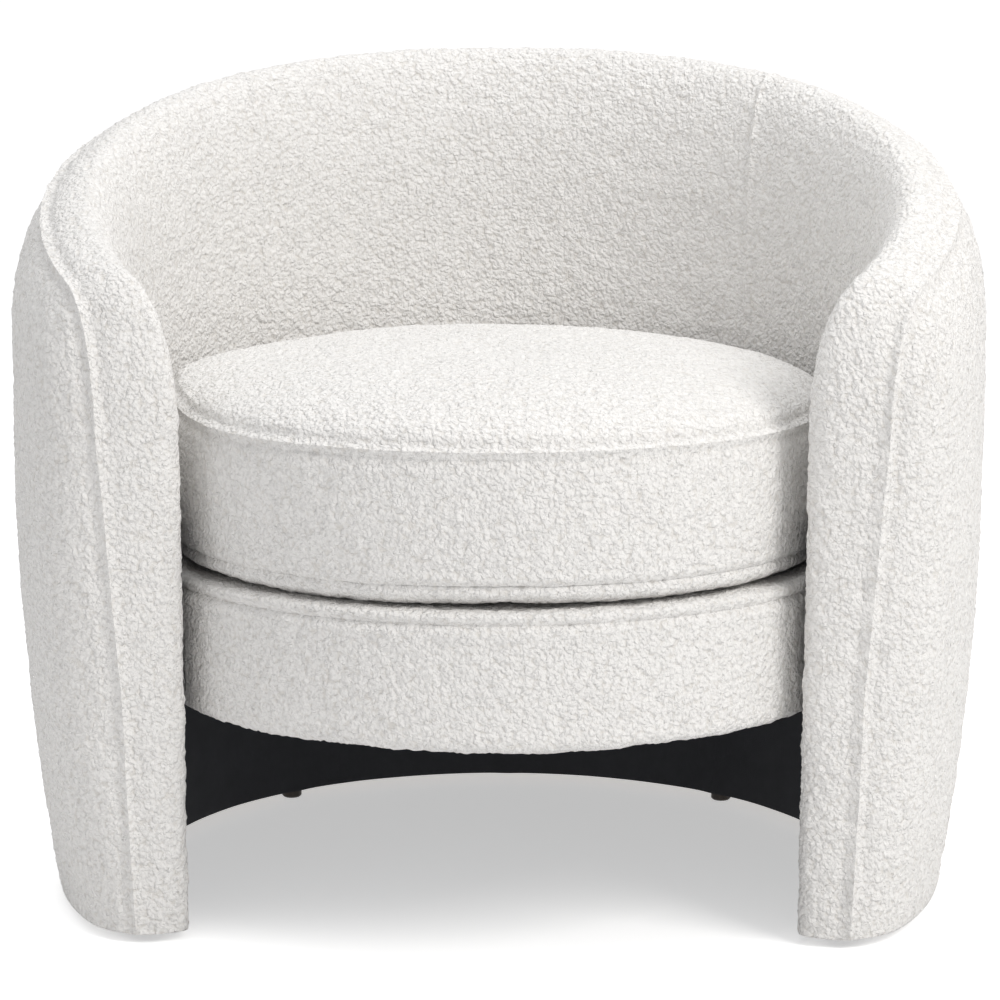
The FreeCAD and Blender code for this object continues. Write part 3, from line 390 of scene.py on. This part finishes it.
WALL_ROWS = 190
ROUND_ROWS = 50
HEM_ROWS = 7
HEM = 0.020


def section(height, share_floor):
    """A slice of the wall, from the outside's hem over the rim to the inside's hem: radius and height."""
    walls = np.linspace(FLOOR_Z, height - WELL, WALL_ROWS)
    outside = outer_radius(walls)
    straight = np.linspace(height - WELL, height - ROUND_OUT, 10)[1:]
    turn = np.linspace(0, math.pi / 2, ROUND_ROWS)[1:]
    out_r = CREST_R + (OUTER - CREST_R) * np.cos(turn) ** (2 / ROUND_POWER)
    out_z = height - ROUND_OUT + ROUND_OUT * np.sin(turn) ** (2 / ROUND_POWER)
    turn = np.linspace(math.pi / 2, 0, ROUND_ROWS)[1:]
    in_r = CREST_R - (CREST_R - INNER_R) * np.cos(turn) ** (2 / ROUND_POWER)
    in_z = height - ROUND_IN + ROUND_IN * np.sin(turn) ** (2 / ROUND_POWER)
    hem = np.linspace(1, 0, HEM_ROWS + 1)[:-1]
    hem_z = FLOOR_Z - 0.0012 * np.sin(np.pi * hem / 2)
    radius = np.concatenate([outside[0] - HEM * hem, outside, np.full(9, OUTER), out_r, in_r])
    radius = np.concatenate([radius, np.full(WALL_ROWS - 1, INNER_R), (INNER_R + HEM * hem[::-1])])
    z = np.concatenate([hem_z, walls, straight, out_z, in_z, walls[::-1][1:], hem_z[::-1]])
    return radius, z


def shell_grid():
    """The whole wall as a grid of stations by slice points, about the shell's axis."""
    plan = FRONT - NOSE
    inner_end = math.pi / 2 + math.asin(plan / INNER_R)
    outer_end = math.pi / 2 + math.asin(plan / OUTER)
    stations = int(2 * outer_end * OUTER / STEP)
    rows, angles = [], []
    turns = np.linspace(0, math.pi / 2, 27)[1:]

    def nose(side):
        made = []
        for turn in turns:
            forward = plan + NOSE * math.sin(turn) ** (2 / NOSE_POWER)
            keep = max(math.cos(turn), 0) ** (2 / NOSE_POWER)
            x_in, x_out = math.sqrt(INNER_R ** 2 - forward ** 2), math.sqrt(OUTER ** 2 - forward ** 2)
            height = rim_height(-forward)
            radius, z = section(height, 0)
            share = (radius - INNER_R) / (OUTER - INNER_R)
            well = np.minimum(z, height - WELL)
            middle = seam_share(well)
            share = middle + (share - middle) * keep
            made.append(np.column_stack([
                side * (x_in + (x_out - x_in) * share), np.full_like(z, -forward), well + (z - well) * keep]))
        return made

    for step in np.linspace(-1, 1, stations):
        inner = INNER_R * np.array([math.sin(step * inner_end), math.cos(step * inner_end)])
        outer = OUTER * np.array([math.sin(step * outer_end), math.cos(step * outer_end)])
        radius, z = section(rim_height((inner[1] + outer[1]) / 2), 0)
        share = ((radius - INNER_R) / (OUTER - INNER_R))[:, None]
        rows.append(np.column_stack([inner * (1 - share) + outer * share, z]))
        angles.append(step)
    left, right = nose(-1), nose(1)
    return np.stack(left[::-1] + rows + right), len(left)


grid, nose_rows = shell_grid()
stations, points_across, _ = grid.shape
seam_column = HEM_ROWS + WALL_ROWS + 9 + int(np.argmin(np.abs(
    CREST_R + (OUTER - CREST_R) * np.cos(np.linspace(0, math.pi / 2, ROUND_ROWS)[1:]) ** (2 / ROUND_POWER) - (OUTER - 0.026))))
crest_column = HEM_ROWS + WALL_ROWS + 9 + ROUND_ROWS - 1
seam_line = grid[:, seam_column]
front_lines = [grid[k, HEM_ROWS:HEM_ROWS + WALL_ROWS] for k in (0, -1)]
bearing = np.arctan2(grid[:, -60, 0], grid[:, -60, 1])
panel_rows = [int(np.argmin(np.abs(bearing - side * PANEL_ANGLE))) for side in (-1, 1)]
panel_lines = [grid[k, seam_column:points_across - HEM_ROWS] for k in panel_rows]
flat = grid.reshape(-1, 3)
points, quads, alive = welded(flat, grid_quads(stations, points_across))
quads = quads[:, ::-1]
facing = normals_of(points, quads[alive])
main_seam = np.concatenate([seam_line, *front_lines])
away = nearness(points, main_seam, 0.03)
shape = groove(away, 0.0034, 0.0030)
pucker = waves(points, 0.013, 131)
shape += 0.0012 * pucker * np.exp(-((away - 0.006) / 0.008) ** 2)
panel_away = nearness(points, np.concatenate(panel_lines), 0.02)
shape += groove(panel_away, 0.0014, 0.0026) + 0.0005 * pucker * np.exp(-(panel_away / 0.010) ** 2)
shape += 0.0012 * waves(points, 0.070, 151)
front_face = np.clip((-points[:, 1] - FRONT + 0.03) / 0.03, 0, 1)
fold = np.exp(-((points[:, 2] - (RIM_FRONT - 0.030)) / 0.016) ** 2) * front_face
shape += 0.0014 * fold * waves(points * np.array([1, 1, 0.35]), 0.017, 171)
pile_here = pile(points)
hem_part = np.clip((points[:, 2] - FLOOR_Z + 0.0005) / 0.004, 0, 1)
points = points + facing * ((shape + pile_here - 0.0010) * hem_part)[:, None]
points[:, 1] += AXIS_Y
row_of_quad = np.repeat(np.arange(stations - 1), points_across - 1)
column_of_quad = np.tile(np.arange(points_across - 1), stations - 1)
outside = column_of_quad < seam_column
back_panel = (row_of_quad >= panel_rows[0]) & (row_of_quad < panel_rows[1]) & ~outside
well_hidden = np.zeros(len(quads), bool)
middle_z = points[quads][:, :, 2].mean(axis=1)
inner_wall = column_of_quad >= crest_column + ROUND_ROWS - 1
wrap_rows = nose_rows + 6
hidden = inner_wall & (middle_z < lining_high.z + 0.010) & (row_of_quad > wrap_rows) & (row_of_quad < stations - 1 - wrap_rows)
left_side = row_of_quad < stations // 2
shell_parts = {
    "outside_cover_sewn": (outside, ["outside_cover", "outer_foam"]),
    "inside_back_cover_sewn": (back_panel & ~hidden, ["inside_back_cover", "inside_back_foam", "rim_foam"]),
    "inside_arm_cover_left_sewn": (~outside & ~back_panel & ~hidden & left_side,
                                   ["inside_arm_cover_left", "inside_arm_foam_left", "arm_front_foam_left"]),
    "inside_arm_cover_right_sewn": (~outside & ~back_panel & ~hidden & ~left_side,
                                    ["inside_arm_cover_right", "inside_arm_foam_right", "arm_front_foam_right"]),
}
for name, (chosen, nodes) in shell_parts.items():
    cover = mesh_piece(name, points, quads[chosen & alive], boucle, "shell")
    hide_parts(*nodes)

# ---------------------------------------------------------------- black linings

def lining_piece():
    """The cloth behind the seat base, stapled to the ribs so that each shows as a faint upright ridge."""
    radius = LINING_R
    end = math.pi / 2 + math.asin((FRONT - NOSE) / INNER_R) - 0.030
    low, high = lining_low.z + 0.001, lining_high.z + 0.020
    across, up = 560, 110
    turn, level = np.meshgrid(np.linspace(-end, end, across), np.linspace(low, high, up), indexing="ij")
    made = np.column_stack([np.sin(turn).ravel(), np.cos(turn).ravel(), level.ravel()])
    pitch = math.radians(39.5)
    from_rib = (np.abs((turn.ravel() / pitch + 0.5) % 1 - 0.5)) * pitch * radius
    slack = 0.0014 * np.exp(-(from_rib / 0.010) ** 2) + 0.0005 * waves(made * np.array([1, 1, 0.4]), 0.12, 211)
    scaled = radius - slack
    made[:, 0] *= scaled
    made[:, 1] = made[:, 1] * scaled + AXIS_Y
    sheet = mesh_piece("cambric_lining_stapled", made, grid_quads(across, up), cambric, "shell")
    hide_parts("cambric_lining")


def dust_piece():
    """The cloth under the seat base, pulled over the hoop and stapled, with a slight sag."""
    radius = dust_high.x
    rings, round_ = 90, 240
    share, turn = np.meshgrid(np.linspace(0, 1, rings), np.linspace(0, 2 * math.pi, round_, endpoint=False), indexing="ij")
    share, turn = share.ravel(), turn.ravel()
    made = np.column_stack([radius * share * np.sin(turn), radius * share * np.cos(turn) + AXIS_Y, np.zeros(len(turn))])
    pull = 0.0006 * np.sin(turn * 26) * np.clip((share - 0.72) / 0.28, 0, 1)
    made[:, 2] = dust_low.z + 0.0006 - 0.0020 * (1 - share ** 2) + pull + 0.0004 * waves(made, 0.09, 231)
    sheet = mesh_piece("dust_cover_stapled", made, grid_quads(rings, round_, True), cambric, "shell")
    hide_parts("dust_cover")


lining_piece()
dust_piece()

# ---------------------------------------------------------------- round pieces: seat base and cushion

def lathe(profile, turns, centre_y, radius_scale=None):
    """A grid of profile points (radius, height) turned about an upright axis, angles measured from the front."""
    radius = profile[:, 0][:, None] * np.ones(len(turns))
    if radius_scale is not None:
        radius = radius + radius_scale(profile[:, 0], profile[:, 1], turns)
    made = np.stack([radius * np.sin(turns), -radius * np.cos(turns) + centre_y,
                     profile[:, 1][:, None] * np.ones(len(turns))], axis=2)
    return made


def spaced(profile, step):
    """The profile's points again, evenly spaced along it."""
    along = np.concatenate([[0], np.cumsum(np.linalg.norm(np.diff(profile, axis=0), axis=1))])
    new = np.linspace(0, along[-1], max(int(along[-1] / step), 2) + 1)
    return np.column_stack([np.interp(new, along, profile[:, k]) for k in (0, 1)])


def arc(start, end, corner, power=2.0, count=24):
    """A rounded corner from one point to another, bulging towards the corner point."""
    turn = np.linspace(0, math.pi / 2, count)[:, None]
    start, end, corner = map(np.array, (start, end, corner))
    return corner + (start - corner) * (1 - np.sin(turn) ** (2 / power)) + (end - corner) * (1 - np.cos(turn) ** (2 / power))


def sewn(name, made, closed, material, body, nodes, relief):
    """A round piece from its grid, with its relief along the normals."""
    rows, columns, _ = made.shape
    base, faces, living = welded(made.reshape(-1, 3), grid_quads(rows, columns, closed))
    faces = faces[living]
    facing = normals_of(base, faces)
    piece = mesh_piece(name, base + facing * relief(base)[:, None], faces, material, body)
    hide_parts(*nodes)
    return piece


full_turn = np.linspace(-math.pi, math.pi, int(2 * math.pi * SEAT_R / STEP), endpoint=False)
SEAT_SEAM = deck_low.z + 0.004
SEAT_BOTTOM = seat_low.z + 0.0010
SEAT_TOP = deck_high.z - 0.0012


def seam_relief(heights, radius_low, centre_y, depth, width):
    """Relief with a groove at each seam height, puckers beside it, and the boucle's nubs."""
    def relief(places):
        total = pile(places) - 0.0010
        reach = np.hypot(places[:, 0], places[:, 1] - centre_y)
        for height in heights:
            away = np.where(reach > radius_low, np.abs(places[:, 2] - height), 1.0)
            total += groove(away, depth, width)
            total += 0.0007 * waves(places * np.array([1, 1, 0.4]), 0.012, 191) * np.exp(-(away / 0.009) ** 2)
        return total + 0.0008 * waves(places, 0.06, 251)
    return relief


band_turn = np.linspace(-math.radians(97), math.radians(97), int(math.radians(194) * SEAT_R / STEP))
band_profile = np.concatenate([
    [(SEAT_R - 0.022, SEAT_BOTTOM)],
    arc((SEAT_R - 0.010, SEAT_BOTTOM), (SEAT_R, SEAT_BOTTOM + 0.010), (SEAT_R, SEAT_BOTTOM), 2.2),
    [(SEAT_R, SEAT_SEAM)]])
band = lathe(spaced(band_profile, STEP), band_turn, AXIS_Y)
sewn("band_cover_sewn", band, False, boucle, "shell", ["band_cover", "band_foam"],
     seam_relief([SEAT_SEAM], SEAT_R - 0.015, AXIS_Y, 0.0030, 0.0026))
deck_profile = np.concatenate([
    [(SEAT_R, SEAT_SEAM), (SEAT_R, SEAT_SEAM + 0.004)],
    arc((SEAT_R, SEAT_SEAM + 0.004), (SEAT_R - 0.011, SEAT_TOP), (SEAT_R, SEAT_TOP), 2.2),
    [(0.001, SEAT_TOP)]])
deck = lathe(spaced(deck_profile, STEP), full_turn, AXIS_Y)
sewn("deck_cover_sewn", deck, True, boucle, "shell", ["deck_cover", "deck_foam", "burlap"],
     seam_relief([SEAT_SEAM], SEAT_R - 0.015, AXIS_Y, 0.0030, 0.0026))

# cushion: bottom panel, boxing and crowned top panel
LOW_SEAM = under_high.z - 0.002
TOP_SEAM = boxing_high.z + 0.003
UNDER = under_low.z + 0.0008
CROWN = top_high.z + 0.008
BULGE = boxing_high.x - CUSHION_R


def drawn_in(radius, height, turns):
    """The cushion is squeezed a little where the arms hold it, and less round than drawn."""
    from_front = np.abs(turns)
    squeeze = -0.0085 * np.exp(-((np.degrees(from_front) - 84) / 30) ** 2)
    return (radius / CUSHION_R)[:, None] * squeeze[None, :]


def cushion_lift(made, share):
    """The left end of the top seam rides up, and the seam dips a little towards the front."""
    turn = np.degrees(np.arctan2(made[..., 0], -(made[..., 1] - CUSHION_Y)))
    rise = 0.0150 * np.exp(-((turn + 86) / 24) ** 2) + 0.0030 * np.exp(-((turn - 92) / 24) ** 2)
    made[..., 2] += rise * share
    return made


top_share = np.linspace(0, 1, 40)
boxing_z = np.linspace(LOW_SEAM, TOP_SEAM, 60)
boxing_part = (boxing_z - LOW_SEAM) / (TOP_SEAM - LOW_SEAM)
boxing_profile = np.column_stack([CUSHION_R - 0.0010 + BULGE * np.sin(np.pi * boxing_part) ** 0.7, boxing_z])
radius_list = CUSHION_R * np.sin(np.linspace(math.pi / 2, 0.004, 260)) ** 0.9
dome = np.clip(1 - (radius_list / CUSHION_R) ** 4.2, 0, 1) ** 0.52
gentle = 0.010 * (1 - (radius_list / CUSHION_R) ** 2)
top_profile = np.column_stack([radius_list - 0.0010, TOP_SEAM + (CROWN - TOP_SEAM - 0.010) * dome + gentle])
under_profile = np.concatenate([
    [(0.001, UNDER), (CUSHION_R - 0.026, UNDER)],
    arc((CUSHION_R - 0.026, UNDER), (CUSHION_R - 0.0010, LOW_SEAM), (CUSHION_R - 0.001, UNDER), 2.0)])


def cushion_relief(places):
    """Seam grooves, nubs, and the wrinkles that gather at the cushion's ends."""
    total = seam_relief([LOW_SEAM], CUSHION_R - 0.020, CUSHION_Y, 0.0026, 0.0026)(places)
    turn = np.degrees(np.arctan2(places[:, 0], -(places[:, 1] - CUSHION_Y)))
    seam_z = TOP_SEAM + 0.0150 * np.exp(-((turn + 86) / 24) ** 2) + 0.0030 * np.exp(-((turn - 92) / 24) ** 2)
    reach = np.hypot(places[:, 0], places[:, 1] - CUSHION_Y)
    off = np.where(reach > CUSHION_R - 0.024, places[:, 2] - seam_z, 1.0)
    total += 0.0022 * np.exp(-((np.abs(off) - 0.0) / 0.0026) ** 2) - 0.0022 * np.exp(-((np.abs(off) - 0.0062) / 0.0030) ** 2)
    ends = np.exp(-((np.abs(turn) - 78) / 17) ** 2)
    creases = np.sin(np.radians(turn) * 46 + 1.8 * waves(places, 0.05, 271))
    total += 0.0016 * ends * creases * np.exp(-((off - 0.012) / 0.016) ** 2)
    return total + 0.0016 * waves(places, 0.11, 291)


for name, profile, nodes, share, step in (
        ("cushion_bottom_panel_sewn", under_profile, ["cushion_bottom_panel"], 0.0, 0.0040),
        ("cushion_boxing_sewn", boxing_profile, ["cushion_boxing", "cushion_wrap", "cushion_core"], None, STEP),
        ("cushion_top_panel_sewn", top_profile, ["cushion_top_panel"], 1.0, STEP)):
    profile = spaced(profile, step)
    made = lathe(profile, full_turn, CUSHION_Y, drawn_in)
    part = (profile[:, 1] - LOW_SEAM) / (TOP_SEAM - LOW_SEAM) if share is None else np.full(len(profile), share)
    if share == 1.0:
        part = np.clip(1.25 * (profile[:, 0] / CUSHION_R) ** 3 - 0.25, 0, 1)
    made = cushion_lift(made, part[:, None])
    sewn(name, made, True, boucle, "loose_cushion", nodes, cushion_relief)

# ---------------------------------------------------------------- floor, light and camera

floor_mesh = bpy.data.meshes.new("studio_floor")
floor_mesh.from_pydata([(-60, -60, 0), (60, -60, 0), (60, 60, 0), (-60, 60, 0)], [], [(0, 1, 2, 3)])
floor_mesh.update()
floor = bpy.data.objects.new("studio_floor", floor_mesh)
bpy.context.scene.collection.objects.link(floor)
paper, tree, shader = new_material("pale_paper", (0.90, 0.90, 0.90), 0.9)
rays = add(tree, "ShaderNodeLightPath")
seen = add(tree, "ShaderNodeMath", operation="MAXIMUM")
tree.links.new(rays.outputs["Is Camera Ray"], seen.inputs[0])
tree.links.new(rays.outputs["Is Glossy Ray"], seen.inputs[1])
also = add(tree, "ShaderNodeMath", operation="MAXIMUM")
tree.links.new(seen.outputs["Value"], also.inputs[0])
tree.links.new(rays.outputs["Is Transmission Ray"], also.inputs[1])
glow = add(tree, "ShaderNodeEmission", in_Strength=0.50)
tree.links.new(also.outputs["Value"], glow.inputs["Color"])
both = add(tree, "ShaderNodeAddShader")
tree.links.new(shader.outputs["BSDF"], both.inputs[0])
tree.links.new(glow.outputs["Emission"], both.inputs[1])
tree.links.new(both.outputs["Shader"], tree.nodes["Material Output"].inputs["Surface"])
floor_mesh.materials.append(paper)

world = bpy.data.worlds.new("studio")
bpy.context.scene.world = world
world.use_nodes = True
tree = world.node_tree
rays = add(tree, "ShaderNodeLightPath")
seen = add(tree, "ShaderNodeMath", operation="MAXIMUM")
tree.links.new(rays.outputs["Is Camera Ray"], seen.inputs[0])
tree.links.new(rays.outputs["Is Glossy Ray"], seen.inputs[1])
also = add(tree, "ShaderNodeMath", operation="MAXIMUM")
tree.links.new(seen.outputs["Value"], also.inputs[0])
tree.links.new(rays.outputs["Is Transmission Ray"], also.inputs[1])
white = add(tree, "ShaderNodeBackground", in_Color=(1, 1, 1, 1), in_Strength=1.0)
dim = tree.nodes["Background"]
dim.inputs["Color"].default_value = (0.99, 0.99, 1.0, 1)
dim.inputs["Strength"].default_value = 0.60
pick = add(tree, "ShaderNodeMixShader")
tree.links.new(also.outputs["Value"], pick.inputs[0])
tree.links.new(dim.outputs["Background"], pick.inputs[1])
tree.links.new(white.outputs["Background"], pick.inputs[2])
tree.links.new(pick.outputs["Shader"], tree.nodes["World Output"].inputs["Surface"])


def lamp(name, place, target, size, power, colour):
    """A soft square lamp that faces a point."""
    light = bpy.data.lights.new(name, "AREA")
    light.size, light.energy, light.color = size, power, colour
    made = bpy.data.objects.new(name, light)
    made.location = place
    made.rotation_mode = "QUATERNION"
    made.rotation_quaternion = (Vector(target) - Vector(place)).to_track_quat("-Z", "Y")
    bpy.context.scene.collection.objects.link(made)


lamp("key", (2.1, -1.8, 2.7), (0.0, -0.05, 0.4), 1.6, 60, (1.0, 0.982, 0.955))
lamp("overhead", (-0.2, 0.3, 3.2), (0.0, 0.0, 0.5), 2.2, 30, (0.98, 0.99, 1.0))
lamp("fill", (-2.4, -2.2, 1.2), (0.0, 0.0, 0.4), 2.0, 2, (1.0, 1.0, 1.0))

camera = bpy.data.cameras.new("front")
camera.sensor_width = 36.0
camera.lens = 3165.35 * 36.0 / 1000
view = bpy.data.objects.new("front", camera)
bpy.context.scene.collection.objects.link(view)
turned = 0.0253
distance, height, pitch, aside = 2.6089, 0.7663, 0.169, 0.0034
view.location = (aside * math.cos(turned) + distance * math.sin(turned),
                 aside * math.sin(turned) - distance * math.cos(turned) + AXIS_Y, height)
view.rotation_euler = (math.pi / 2 - pitch, 0, turned + 0.001)
bpy.context.scene.camera = view
bpy.context.scene.view_settings.view_transform = "Standard"
